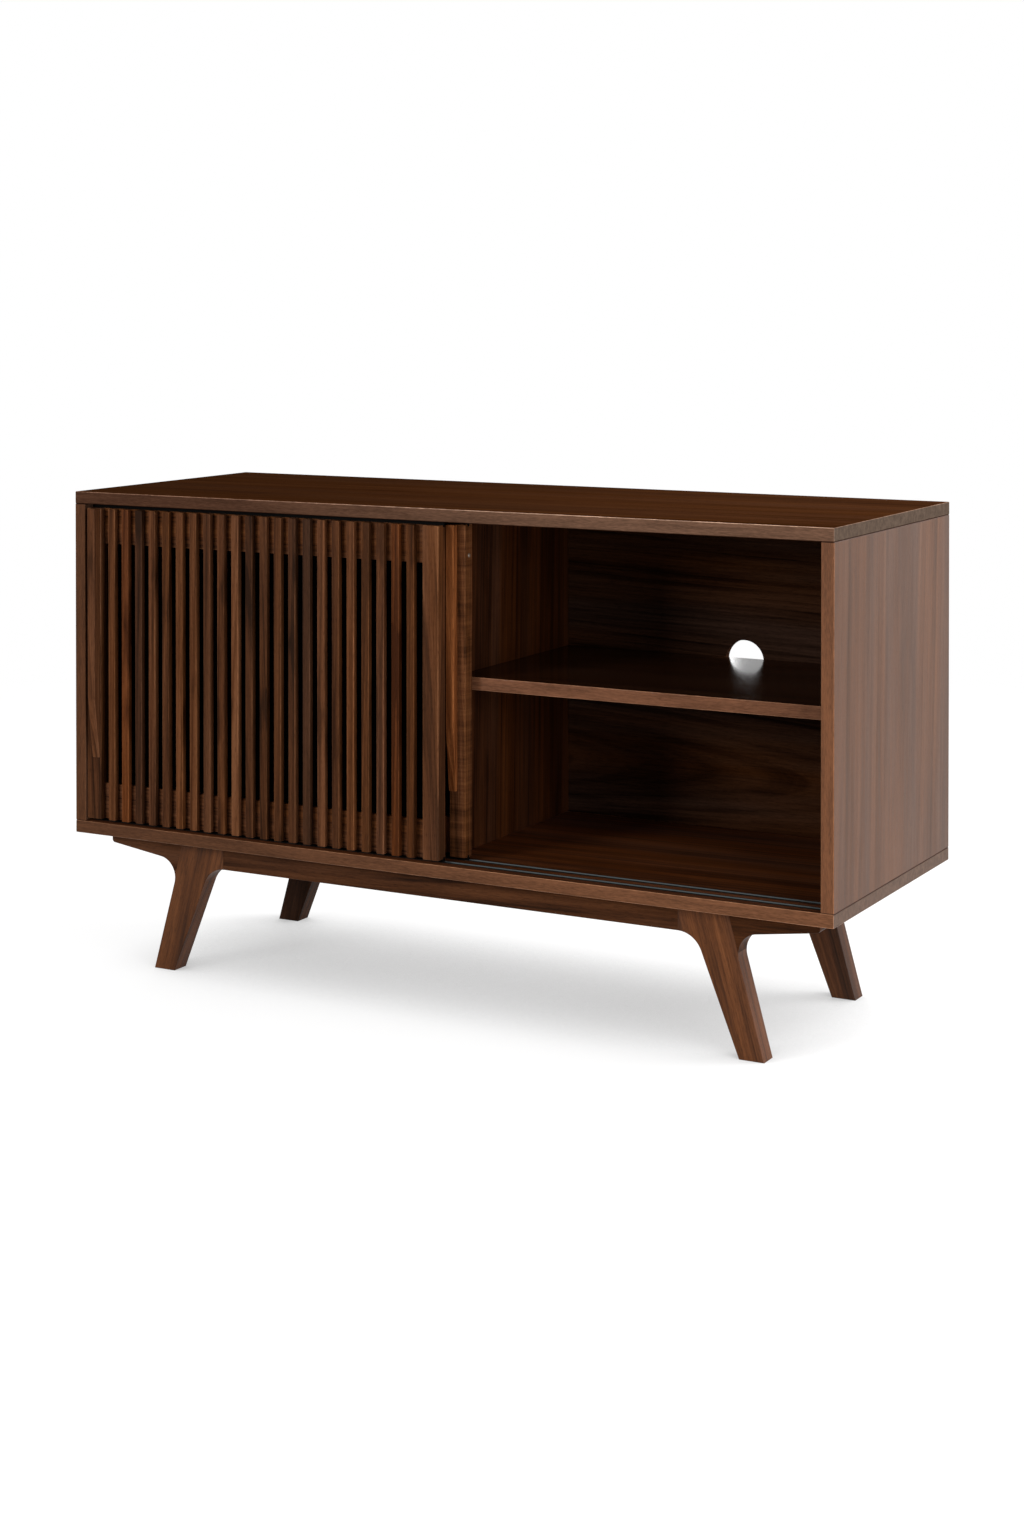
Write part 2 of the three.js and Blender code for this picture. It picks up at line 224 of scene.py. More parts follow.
def group(name, inputs, outputs):
    """Makes a node group. Returns its tree, its input sockets and its output node."""
    tree = bpy.data.node_groups.new(name, "ShaderNodeTree")
    for socket_name, kind in inputs.items():
        tree.interface.new_socket(socket_name, in_out="INPUT", socket_type=kind)
    for socket_name in outputs:
        kind = COLOUR if socket_name == "Colour" else FLOAT
        tree.interface.new_socket(socket_name, in_out="OUTPUT", socket_type=kind)
    return tree, tree.nodes.new("NodeGroupInput").outputs, tree.nodes.new("NodeGroupOutput")


def socket_name_of(key):
    return key.replace("_", " ").title()


def give(tree, leave, **results):
    """Links the results of a node group to its named outputs."""
    for key, value in results.items():
        tree.links.new(value, leave.inputs[socket_name_of(key)])


def place(tree, made_group, **sockets):
    """Puts a node group into a material, with the values that are right for that timber."""
    named_sockets = {socket_name_of(key): value for key, value in sockets.items()}
    return add(tree, "ShaderNodeGroup", named_sockets, node_tree=made_group).outputs


print("helpers for node groups ready")

# %% [markdown]
# ## How a walnut tree grows
# A board shows the year rings of the trunk it was cut from. A picture of a board or the Wood
# texture would give one flat pattern for all faces. Here the rings are cylinders round the pith,
# so the distance from a line gives the ring number, and every cut comes out right: straight lines
# where the board was quarter sawn, arches where the pith is slightly askew, and arcs on the ends.
#
# The group bends the space a little first, because no trunk is a perfect cylinder. Colour follows
# the rings too, so the broad figure and the thin streaks are noise over the ring number, and they
# run round an arch as the real ones do.

# %% Node group: year rings
BEND_WAVES = (1.6, 6.0, 6.0)
PATCH_WAVES = (2.5, 40.0, 40.0)
FIGURE_WAVES = (1.1, 0.45, 1.0)
STREAK_WAVES = (4.0, 3.3, 1.0)
LATE_WOOD = 0.93

rings, entry, leave = group(
    "year_rings",
    {"Vector": VECTOR, "Spacing": FLOAT, "Waver": FLOAT, "Seed": FLOAT},
    ("Line", "Figure", "Streak"),
)
seed = entry["Seed"]
seed_shift = add(rings, "ShaderNodeCombineXYZ", {"X": seed, "Y": seed, "Z": seed}).outputs[0]
start = vectors(rings, "ADD", entry["Vector"], seed_shift)
bend = noise(rings, start, BEND_WAVES, roughness=0.45, output=1)
centred = vectors(rings, "SUBTRACT", bend, (0.5, 0.5, 0.5))
bent = vectors(rings, "ADD", entry["Vector"], scaled(rings, centred, entry["Waver"]))
radius = length(rings, vectors(rings, "MULTIPLY", bent, (0.0, 1.0, 1.0)))
ring_count = calculate(rings, "DIVIDE", radius, entry["Spacing"])
phase = calculate(rings, "FRACT", ring_count)
rise = remap(rings, phase, 0.35, LATE_WOOD, smooth=True)
fall = remap(rings, phase, LATE_WOOD, 1.0, 1.0, 0.0, smooth=True)
patchy = remap(rings, noise(rings, start, PATCH_WAVES), 0.38, 0.62, 0.15, 1.0)
line = calculate(rings, "MULTIPLY", calculate(rings, "MULTIPLY", rise, fall), patchy)
ring_place = {"X": split(rings, start)["X"], "Y": ring_count, "Z": seed}
ring_space = add(rings, "ShaderNodeCombineXYZ", ring_place).outputs[0]
figure = noise(rings, ring_space, FIGURE_WAVES, roughness=0.6)
streak = noise(rings, ring_space, STREAK_WAVES, roughness=0.6)
give(rings, leave, line=line, figure=figure, streak=streak)
print("year rings:", len(rings.nodes), "nodes")

# %% [markdown]
# ## Fibre, pores and ripple
# Between the rings there is finer detail. Broad bands run along the board where the heartwood
# took up more colour, fibres make short silky streaks, and the open pores of walnut are dark
# dashes a few millimetres long. Where the tree stood under load, the fibres buckle and a ripple
# runs across the board. Carved pores would take millions of faces, so all of these are noise in
# the material, stretched along the grain, or across it for the ripple, at very different scales.

# %% Node group: fibre and pores
BAND_WAVES = (1.2, 22.0, 22.0)
HUE_WAVES = (0.9, 14.0, 14.0)
FIBRE_WAVES = (9.0, 330.0, 330.0)
PORE_WAVES = (110.0, 1900.0, 1900.0)
KNOT_WAVES = (6.0, 30.0, 30.0)
RIPPLE_WAVES = (60.0, 2.5, 2.5)
SEED_STEP = (2.3, 1.1, 3.7)

fibre, entry, leave = group(
    "fibre_and_pores",
    {"Vector": VECTOR, "Seed": FLOAT},
    ("Band", "Hue", "Fibre", "Pores", "Knot", "Ripple"),
)
start = vectors(fibre, "ADD", entry["Vector"], scaled(fibre, SEED_STEP, entry["Seed"]))
pore_field = noise(fibre, start, PORE_WAVES, detail=0.0)
knot_field = noise(fibre, start, KNOT_WAVES, detail=3.0)
give(
    fibre,
    leave,
    band=noise(fibre, start, BAND_WAVES, detail=3.0, roughness=0.6),
    hue=noise(fibre, start, HUE_WAVES),
    fibre=noise(fibre, start, FIBRE_WAVES, roughness=0.65),
    pores=remap(fibre, pore_field, 0.58, 0.70),
    knot=remap(fibre, knot_field, 0.56, 0.74, smooth=True),
    ripple=noise(fibre, start, RIPPLE_WAVES, detail=5.0, roughness=0.8),
)
print("fibre and pores:", len(fibre.nodes), "nodes")

# %% [markdown]
# ## Wear and painted highlights on the edges
# Handling polishes an edge and rubs a little colour off it, and the light that a rounded edge
# catches is painted in as well, so the paling is part wear and part painted highlight. Painting
# that by hand would tie it to one shape. The boards are square, so a face looks along one axis
# and only a rounded edge looks between two of them, and the group marks the places where the
# largest part of the normal is small. `Spare Ends` keeps the paling off the two ends of a lying
# board.
#
# Where two boards of the case meet, their rounds make a small groove, and shade is painted into
# it. `Above` and `Below` tell whether a board is joined to the one over or under it. A lying board
# has its joints only at its two ends, and `Upright` says that the whole edge lies in the joint.

# %% Node group: rubbed edges with painted highlights, and joints with painted shade
UNEVEN_WAVES = (60.0, 60.0, 60.0)
EDGE_BEGINS = 0.95
EDGE_FULL = 0.82

# Mask: edges paled as wear and as a painted highlight. Joint: grooves that get painted shade.
edge_wear_and_sheen, entry, leave = group(
    "rubbed_edges_and_sheen",
    {"Vector": VECTOR, "Normal": VECTOR}
    | {"Above": FLOAT, "Below": FLOAT, "Upright": FLOAT, "Spare Ends": FLOAT},
    ("Mask", "Joint"),
)
parts = split(edge_wear_and_sheen, vectors(edge_wear_and_sheen, "ABSOLUTE", entry["Normal"]))
widest = calculate(edge_wear_and_sheen, "MAXIMUM", parts["X"], parts["Y"])
widest = calculate(edge_wear_and_sheen, "MAXIMUM", widest, parts["Z"])
edge = remap(edge_wear_and_sheen, widest, EDGE_BEGINS, EDGE_FULL)
broken = remap(edge_wear_and_sheen, noise(edge_wear_and_sheen, entry["Vector"], UNEVEN_WAVES), 0.35, 0.6, 0.5, 1.0)
lift = split(edge_wear_and_sheen, entry["Normal"])["Z"]
upward = calculate(edge_wear_and_sheen, "MULTIPLY", lift, entry["Above"])
downward = calculate(edge_wear_and_sheen, "MULTIPLY", lift, entry["Below"])
downward = calculate(edge_wear_and_sheen, "MULTIPLY", downward, -1.0)
meets = calculate(edge_wear_and_sheen, "MAXIMUM", upward, downward)
reach = calculate(edge_wear_and_sheen, "MAXIMUM", parts["X"], entry["Upright"])
joint = remap(edge_wear_and_sheen, calculate(edge_wear_and_sheen, "MULTIPLY", meets, reach), 0.10, 0.30)
open_edge = calculate(edge_wear_and_sheen, "SUBTRACT", edge, joint, clamp=True)
spared = calculate(edge_wear_and_sheen, "MULTIPLY", parts["X"], entry["Spare Ends"])
open_edge = calculate(edge_wear_and_sheen, "SUBTRACT", open_edge, spared, clamp=True)
give(edge_wear_and_sheen, leave, mask=calculate(edge_wear_and_sheen, "MULTIPLY", open_edge, broken), joint=joint)
print("rubbed edges:", len(edge_wear_and_sheen.nodes), "nodes")

# %% [markdown]
# ## Lippings
# The case boards are veneered, and thin strips of solid walnut close their edges. A strip is a
# paler cut with short flecks in it, because its grain runs out at the surface. The strips could
# be pieces of their own, but they are flush with the board, so a mask does as well: `Across` is
# the thin direction of the board, and every face that doesn't look that way is an edge.

# %% Node group: lippings
SHORT_WAVES = (90.0, 900.0, 900.0)
LONG_WAVES = (9.0, 160.0, 160.0)

lipping, entry, leave = group(
    "lipping",
    {"Turned": VECTOR, "Normal": VECTOR, "Across": VECTOR},
    ("Mask", "End", "Fleck"),
)
directions = {0: entry["Normal"], 1: entry["Across"]}
looks = add(lipping, "ShaderNodeVectorMath", directions, operation="DOT_PRODUCT")
square_on = calculate(lipping, "ABSOLUTE", looks.outputs["Value"])
sideways = calculate(lipping, "ABSOLUTE", split(lipping, entry["Normal"])["X"])
short_flecks = noise(lipping, entry["Turned"], SHORT_WAVES, roughness=0.7)
long_flecks = noise(lipping, entry["Turned"], LONG_WAVES)
flecks = calculate(lipping, "MULTIPLY_ADD", around_zero(lipping, short_flecks), 1.5, long_flecks)
give(
    lipping,
    leave,
    mask=remap(lipping, square_on, 0.80, 0.95, 1.0, 0.0),
    end=remap(lipping, sideways, 0.6, 0.8),
    fleck=flecks,
)
print("lippings:", len(lipping.nodes), "nodes")

# %% [markdown]
# ## Colouring a timber
# Every cut of walnut has a dark, a middle and a light colour. A Color Ramp would hold them, but
# its colours can't be sockets of a group. So two Mix nodes turn a tone between 0 and 1 into a
# colour between the three, and the group then lays the grey smoke of old heartwood and the dark
# pores over it.

# %% Node group: timber colour
PORE_SHADE = (0.35, 0.35, 0.35)

tinting, entry, leave = group(
    "timber_colour",
    {"Tone": FLOAT, "Dark": COLOUR, "Middle": COLOUR, "Light": COLOUR}
    | {"Smoke": FLOAT, "Pores": FLOAT},
    ("Colour",),
)
lower = remap(tinting, entry["Tone"], 0.0, 0.5)
upper = remap(tinting, entry["Tone"], 0.5, 1.0)
colour = mix(tinting, lower, entry["Dark"], entry["Middle"])
colour = mix(tinting, upper, colour, entry["Light"])
smoked = {"Saturation": 0.62, "Value": 0.78, "Color": colour}
greyed = add(tinting, "ShaderNodeHueSaturation", smoked).outputs[0]
colour = mix(tinting, entry["Smoke"], colour, greyed)
holes = calculate(tinting, "MULTIPLY", entry["Pores"], 0.5)
give(tinting, leave, colour=mix(tinting, holes, colour, PORE_SHADE, "MULTIPLY"))
print("timber colour:", len(tinting.nodes), "nodes")

# %% [markdown]
# ## The stock of timbers
# No two logs have one colour. The maker sorts the stock by eye, and the list below holds the
# sorted stock: each timber has its dark, middle and light colour. The grain directions turn the
# pattern, which runs along X, to the length of a board.

# %% Timbers and grain directions
ALONG_X = (0.0, 0.0, 0.0)
ALONG_Z = (0.0, math.radians(-90), 0.0)

TIMBER = {
    "brown": ((0.030, 0.0098, 0.0030), (0.088, 0.0290, 0.0088), (0.150, 0.0530, 0.0178)),
    "light": ((0.050, 0.0176, 0.0062), (0.112, 0.0385, 0.0130), (0.175, 0.0665, 0.0255)),
    "dark": ((0.020, 0.0076, 0.0031), (0.062, 0.0218, 0.0080), (0.105, 0.0380, 0.0140)),
    "grey": ((0.013, 0.0065, 0.0035), (0.042, 0.0167, 0.0075), (0.072, 0.0295, 0.0138)),
    "red": ((0.038, 0.0100, 0.0024), (0.100, 0.0285, 0.0073), (0.165, 0.0500, 0.0142)),
    "amber": ((0.068, 0.0195, 0.0055), (0.155, 0.0500, 0.0150), (0.245, 0.0880, 0.0295)),
    "tan": ((0.046, 0.0200, 0.0092), (0.092, 0.0400, 0.0200), (0.140, 0.0640, 0.0340)),
}


def shade(colour, factor):
    return tuple(channel * factor for channel in colour)


print("timbers in stock:", ", ".join(TIMBER))

# %% [markdown]
# ## Strips, figure and edges of a board
# Three parts of the finish have helpers of their own. A board that is glued up from strips, or
# veneered in leaves, numbers them along an axis, and the number rolls the dice for each strip's
# own cut. `timber_tone` adds up the broad and the fine figure. `lipped` then lays the lippings
# over the edges, and the helper after it pales the rounded edges, part wear and part painted
# highlight, and paints shade into the grooves where boards meet.

# %% Helpers for the walnut finish
STRIP_SHIFT = (0.6, 0.05, 0.05)
STRIP_SEED_STEP = 1.37
# Painted shade in the grooves where two boards meet.
JOINT_PAINTED_SHADE = (0.35, 0.30, 0.28)


def strip_seed(tree, position, seed, axis, pitch, start):
    """Numbers the strips in a row along an axis and gives each a seed of its own."""
    from_start = calculate(tree, "SUBTRACT", split(tree, position)[axis], start)
    number = calculate(tree, "FLOOR", calculate(tree, "DIVIDE", from_start, pitch))
    return calculate(tree, "MULTIPLY_ADD", number, STRIP_SEED_STEP, seed)


def dice(tree, seed, output):
    """A random Color or Value for each seed."""
    made = add(tree, "ShaderNodeTexWhiteNoise", {"W": seed}, noise_dimensions="1D")
    return made.outputs[output]


def timber_tone(tree, growth, cells, contrast, ripple, knotty):
    """Adds up the broad and the fine figure to one tone, about 0.5 in the middle."""
    figure_parts = (
        (around_zero(tree, cells["Band"]), 0.9),
        (around_zero(tree, growth["Figure"]), 1.5),
        (around_zero(tree, growth["Streak"]), 0.8),
        (around_zero(tree, cells["Fibre"]), 0.7),
        (growth["Line"], -0.32),
        (cells["Knot"], -knotty),
        (around_zero(tree, cells["Ripple"]), ripple),
    )
    tone = 0.54
    for value, weight in figure_parts:
        tone = calculate(tree, "MULTIPLY_ADD", value, weight * contrast, tone)
    return tone


def lipped(tree, colour, turned, facing, across, low_colour, high_colour, end_colour):
    """Lays the solid lippings over the veneer. Their colour changes along the board, which is
    partly a painted sheen.
    """
    strip = place(tree, lipping, turned=turned, normal=facing, across=across)
    along = remap(tree, split(tree, turned)["X"], -0.45, 0.35, smooth=True)
    plain = mix(tree, along, low_colour, high_colour)
    plain = mix(tree, strip["End"], plain, end_colour)
    spread = remap(tree, strip["Fleck"], 0.2, 0.8)
    flecked = mix(tree, spread, (0.7, 0.7, 0.7), (1.3, 1.3, 1.3))
    lip_colour = mix(tree, 1.0, plain, flecked, "MULTIPLY")
    return mix(tree, strip["Mask"], colour, lip_colour)


def paint_wear_and_sheen(tree, colour, edges, worn):
    """Pales rounded edges as wear and painted highlight, and paints shade into the joints."""
    paler = (1.0 + worn, 1.0 + 1.25 * worn, 1.0 + 1.45 * worn)
    colour = mix(tree, edges["Mask"], colour, paler, "MULTIPLY")
    return mix(tree, edges["Joint"], colour, JOINT_PAINTED_SHADE, "MULTIPLY")


print("helpers for the walnut finish ready")

# %% [markdown]
# ## A fresh material
# Walnut, plastic and felt all start from the Principled BSDF, which stands for most real
# surfaces. It stays in the material itself, and the groups only feed it. The specular level is
# one value for a whole surface, so it is set on the shader's own socket.

# %% Helpers for materials
def new_material(name):
    material = bpy.data.materials.new(name)
    material.use_nodes = True
    tree = material.node_tree
    return material, tree, tree.nodes["Principled BSDF"]


def coat(tree, surface, colour, gloss, bump, specular):
    surface.inputs["Specular IOR Level"].default_value = specular
    tree.links.new(colour, surface.inputs["Base Color"])
    tree.links.new(gloss, surface.inputs["Roughness"])
    tree.links.new(bump.outputs[0], surface.inputs["Normal"])


print("helpers for materials ready")

# %% [markdown]
# ## Oiled walnut
# One function turns the groups into a finish. `grain` is the direction in which the board was
# cut, and the Mapping node turns the pattern to it and centres it on the board. `pith` is how far
# from the board the middle of the trunk was, which decides between stripes and arches, and
# `askew` is the angle between them in degrees. Pores and fibres lie under the oil as relief.
#
# The pattern reads Object coordinates. They need no UV map, they have the same scale on every
# board, and they stay with a door when it slides.

# %% The walnut finish
PORE_DEPTH = 0.2 * MM


def walnut(
    name,
    timber="brown",
    grain=ALONG_X,
    centre=(0.0, 0.0, 0.0),
    pith=(0.05, 0.07),
    askew=3.0,
    spacing=0.006,
    waver=0.012,
    brightness=1.0,
    contrast=1.0,
    smoky=0.35,
    ripple=0.0,
    knotty=0.15,
    roughness=0.45,
    specular=0.10,
    relief=0.25,
    worn=0.35,
    spare_ends=0.0,
    above=0.0,
    below=0.0,
    upright=0.0,
    strips=None,
    lips=None,
    seed=0.0,
):
    """A material for a board.

    spacing and waver are the width of the year rings and how far they stray, in metres.
    smoky, ripple, knotty and relief say how much of each shows, and the edge amount how pale an
    edge is painted, part wear and part painted highlight.
    above, below, upright and spare_ends are those of the rubbed and highlit edges.
    strips holds an axis, a pitch and a start. lips holds the thin direction of the board, then
    the colour of the lippings at the low end, at the high end and on the two ends themselves.
    """
    material, tree, surface = new_material(name)
    coordinates = add(tree, "ShaderNodeTexCoord").outputs
    position = coordinates["Object"]
    facing = coordinates["Normal"]

    turn = {"Vector": position, "Location": centre, "Rotation": grain}
    turned = add(tree, "ShaderNodeMapping", turn, vector_type="TEXTURE").outputs[0]
    if strips:
        seed = strip_seed(tree, position, seed, *strips)
        shift = vectors(tree, "MULTIPLY", dice(tree, seed, "Color"), STRIP_SHIFT)
        turned = vectors(tree, "ADD", turned, shift)
    tilt = (0.0, math.radians(askew) * 0.4, math.radians(askew))
    lean = {"Vector": turned, "Location": (0.0, *pith), "Rotation": tilt}
    heart = add(tree, "ShaderNodeMapping", lean, vector_type="TEXTURE").outputs[0]

    growth = place(tree, rings, vector=heart, spacing=spacing, waver=waver, seed=seed)
    cells = place(tree, fibre, vector=turned, seed=seed)
    joined = {"above": above, "below": below, "upright": upright}
    edges = place(tree, edge_wear_and_sheen, vector=position, normal=facing, spare_ends=spare_ends, **joined)

    tone = timber_tone(tree, growth, cells, contrast, ripple, knotty)
    if strips:
        lot = around_zero(tree, dice(tree, seed, "Value"))
        tone = calculate(tree, "MULTIPLY_ADD", lot, 0.12, tone)
    smoke = remap(tree, cells["Hue"], 0.42, 0.66, 0.0, smoky)
    dark, middle, light = (solid(shade(colour, brightness)) for colour in TIMBER[timber])
    depth = {"dark": dark, "middle": middle, "light": light}
    colour = place(tree, tinting, tone=tone, smoke=smoke, pores=cells["Pores"], **depth)[0]
    if lips:
        colour = lipped(tree, colour, turned, facing, *lips)
    # Paled edges are part wear and part painted highlight; the joints get painted shade.
    colour = paint_wear_and_sheen(tree, colour, edges, worn)

    silk = around_zero(tree, cells["Fibre"])
    gloss = calculate(tree, "MULTIPLY_ADD", silk, 0.25, roughness)
    gloss = calculate(tree, "MULTIPLY_ADD", edges["Mask"], -0.08, gloss)
    sunk = calculate(tree, "MULTIPLY", cells["Pores"], -1.0)
    height = calculate(tree, "MULTIPLY_ADD", silk, 0.6, sunk)
    carve = {"Height": height, "Strength": relief, "Distance": PORE_DEPTH}
    coat(tree, surface, colour, gloss, add(tree, "ShaderNodeBump", carve), specular)
    return material


print("walnut finish ready for", len(TIMBER), "timbers")

# %% [markdown]
# ## Giving a board its finish
# A finisher works board by board, and each one takes the oil in its own way. `finish` replaces
# what is in a board's material slots. `finish_board` also cuts the walnut for that board alone
# and centres the pattern on it, which is what most boards want.

# %% Helpers for finishing
def finish(names, material):
    for name in names:
        for slot in nodes[name].material_slots:
            slot.material = material


def finish_board(board, material_name, **cut):
    finish([board], walnut(material_name, centre=middle_of(board), **cut))


print("ready to finish", len(boards), "boards")

# %% [markdown]
# ## The top and the bottom
# Both boards run the whole width, and their veneer runs from side to side. They are what hands
# touch most, so their front edges are paled, the top's more than the bottom's; the pale line
# along the top's rounded arris is mostly a painted highlight. Their lippings grow paler towards
# the right end, partly a painted sheen. The sides stand between them: the top is joined to what
# is below it, and the bottom to what is above. Each board is cut from another part of the log,
# so each gets its own seed and its own distance from the pith.

# %% Finish the top and the bottom
FACE_UP = (0.0, 0.0, 1.0)
DULL_TAN = (0.078, 0.0350, 0.0200)
FLAT_TAN = (0.155, 0.0810, 0.0500)
WARM_TAN = (0.165, 0.0680, 0.0320)
TOP_END = (0.077, 0.0540, 0.0404)
BOTTOM_END = (0.094, 0.0568, 0.0401)

finish_board(
    "top_panel",
    "walnut_top",
    pith=(0.30, 0.05),
    askew=1.5,
    spacing=0.014,
    brightness=0.83,
    contrast=0.6,
    smoky=0.15,
    roughness=0.55,
    specular=0.0,
    # The pale front arris is mostly a painted highlight.
    worn=6.0,
    spare_ends=1.15,
    below=1.0,
    upright=1.0,
    # Paler towards the right end: partly a painted sheen.
    lips=(FACE_UP, DULL_TAN, FLAT_TAN, TOP_END),
    seed=1.0,
)
finish_board(
    "bottom_panel",
    "walnut_bottom",
    timber="red",
    pith=(0.25, 0.06),
    askew=2.0,
    spacing=0.012,
    brightness=1.12,
    contrast=1.6,
    specular=0.05,
    worn=1.8,
    above=1.0,
    # Paler towards the right end: partly a painted sheen.
    lips=(FACE_UP, shade(WARM_TAN, 0.6), WARM_TAN, BOTTOM_END),
    seed=2.0,
)
print("top and bottom finished")

# %% [markdown]
# ## The sides
# The grain of a side runs up. Its veneer is laid in two leaves, because no leaf is as wide as the
# case is deep, and the join shows as a fine line. A second board for the second leaf would leave
# a real gap, so the material numbers the leaves along Y instead. Both sides are joined above and
# below, all along.

# %% Finish the sides
FACE_SIDEWAYS = (1.0, 0.0, 0.0)
RED_TAN = (0.142, 0.0540, 0.0220)
LEAF_WIDTH = 0.30
FIRST_LEAF = cad_low.y - 0.18
# The right side's lippings are paler than the left's; that difference is a painted sheen.
SIDES = {
    "side_panel_left": {"edge": 0.68, "specular": 0.06, "seed": 3.0},
    "side_panel_right": {"edge": 1.05, "specular": 0.15, "seed": 4.0},
}

for name, side in SIDES.items():
    edge = shade(RED_TAN, side["edge"])
    finish_board(
        name,
        f"walnut_{name}",
        timber="tan",
        grain=ALONG_Z,
        pith=(0.04, 0.09),
        askew=2.5,
        spacing=0.022,
        brightness=0.96,
        contrast=0.8,
        smoky=0.6,
        specular=side["specular"],
        worn=0.8,
        above=1.0,
        below=1.0,
        upright=1.0,
        strips=("Y", LEAF_WIDTH, FIRST_LEAF),
        lips=(FACE_SIDEWAYS, edge, edge, edge),
        seed=side["seed"],
    )
print("sides finished, with leaves", LEAF_WIDTH, "m wide")

# %% [markdown]
# ## The inside
# The divider, the back and the shelves are seen in the shade of the case, and their colours are
# darker than those of the outer boards, which paints part of that shade. The back is flat sawn,
# with its pith close to the face, and shows arches. The shelves are the smoothest boards of the
# cabinet: things are slid on and off them, and light from the cable hole is mirrored in their oil.
# Such a mirror image is short and clear only where the relief of the pores is low. The pale line
# along a shelf's front arris is partly a painted highlight.

# %% Finish the inside
# The low brightness of the inside boards is painted shade.
SHELF_TAN = (0.166, 0.0690, 0.0350)

finish_board(
    "centre_divider",
    "walnut_divider",
    timber="red",
    grain=ALONG_Z,
    pith=(0.2, 0.1),
    askew=2.0,
    spacing=0.012,
    brightness=0.52,
    contrast=1.4,
    specular=0.02,
    seed=5.0,
)
finish_board(
    "back_panel",
    "walnut_back",
    pith=(0.05, -0.15),
    askew=4.0,
    spacing=0.012,
    waver=0.022,
    brightness=0.60,
    contrast=1.15,
    smoky=0.7,
    specular=0.0,
    seed=6.0,
)
for number, name in enumerate(("shelf_left", "shelf_right")):
    finish_board(
        name,
        f"walnut_{name}",
        pith=(0.2, 0.05),
        askew=2.0,
        spacing=0.012,
        brightness=0.58,
        roughness=0.12,
        specular=0.055,
        relief=0.03,
        worn=1.6,
        lips=(FACE_UP, SHELF_TAN, SHELF_TAN, SHELF_TAN),
        seed=7.0 + number,
    )
print("divider, back and shelves finished")

# %% [markdown]
# ## The slats
# The slats were ripped from many boards, so the timber changes from one to the next. The front
# door's slats are separate pieces and each takes one of five timbers, sorted into a lively
# row. Twenty-two materials would be many for that, so slats of one timber share a material, and
# their place along X gives each its own cut. The rear door is one grille, and the same numbering
# tells its strips apart.

# %% Finish the slats
FRONT_SLATS = (
    "brown red dark brown brown brown brown dark brown light dark "
    "dark dark dark grey light brown brown light light red brown"
).split()
SLAT_CUT = {
    "grain": ALONG_Z,
    "pith": (0.02, 0.03),
    "askew": 2.5,
    "spacing": 0.011,
    "brightness": 1.12,
    "contrast": 1.25,
    "smoky": 0.2,
    "knotty": 0.6,
    "specular": 0.03,
    "worn": 1.0,
    "strips": ("X", slat_pitch, middle_of(front_slats[0]).x - slat_pitch / 2),
}

door_middle = middle_of("front_door_slat_11")
for number, timber in enumerate(sorted(set(FRONT_SLATS))):
    chosen = [name for name, cut_from in zip(front_slats, FRONT_SLATS) if cut_from == timber]
    material_name = f"walnut_slat_{timber}"
    slat_seed = 10.0 + number
    finish(chosen, walnut(material_name, timber, centre=door_middle, seed=slat_seed, **SLAT_CUT))
    print(len(chosen), "slats of", timber, "walnut")
finish_board("rear_door_grille", "walnut_rear_slats", seed=40.0, **SLAT_CUT)

# %% [markdown]
# ## Stiles, pulls and rails
# The upright pieces of the doors are picked for show: the rear pull is the palest strip, and the
# stile beside it has a ripple that was worth keeping. The rear pull is also brightened beyond its
# timber, which paints the light that falls on its face. The short rails lie behind the slats, with
# their grain across.

# %% Finish the stiles, pulls and rails
PICKED_TIMBER = {
    "front_door_pull": "light",
    "front_door_stile_right": "light",
    "rear_door_pull": "amber",
}

uprights = named("front_door_pull", "front_door_stile", "rear_door_pull", "rear_door_stile")
for number, name in enumerate(uprights):
    finish_board(
        name,
        f"walnut_{name}",
        timber=PICKED_TIMBER.get(name, "brown"),
        grain=ALONG_Z,
        pith=(0.03, 0.02),
        askew=2.5,
        spacing=0.008,
        # The rear pull's extra brightness is painted light on its face.
        brightness=1.6 if name == "rear_door_pull" else 1.08,
        contrast=1.4,
        ripple=1.8 if name == "rear_door_stile_right" else 0.0,
        knotty=0.4,
        specular=0.03,
        worn=1.0,
        seed=70.0 + number,
    )
rail_middle = middle_of("front_door_rail_top")
rail_cut = {"pith": (0.05, 0.05), "brightness": 1.3, "specular": 0.03, "seed": 80.0}
finish(named("front_door_rail"), walnut("walnut_rails", centre=rail_middle, **rail_cut))
print(len(uprights), "stiles and pulls and the front door's rails finished")

# %% [markdown]
# ## The leg frames
# Each frame is glued up from five solid pieces, and the glue lines show because the grain turns
# at each of them. It runs along the apron and down the legs, so a leg's pattern is turned to the
# slope of the leg. The front pieces have brightnesses of their own, the right leg the brightest.
# The rear frame is cut from the dark, greyer timber and its left leg is darker still, which paints
# the shade that falls on them under the case.

# %% Finish the leg frames
LEG_SLOPE = math.radians(75)
FRAME_BRIGHTNESS = {
    "front_frame_apron": 0.85,
    "front_frame_leg_left": 1.15,
    "front_frame_leg_right": 1.45,
    "front_frame_wing_left": 0.85,
    "front_frame_wing_right": 0.80,
    # Painted shade: the rear left leg stands in the shade under the case.
    "rear_frame_leg_left": 0.60,
}
FRAME_SPECULAR = {"rear_frame_leg_left": 0.03}


def leg_grain(name):
    if "leg" not in name:
        return ALONG_X
    return (0.0, -LEG_SLOPE if "left" in name else LEG_SLOPE - math.pi, 0.0)


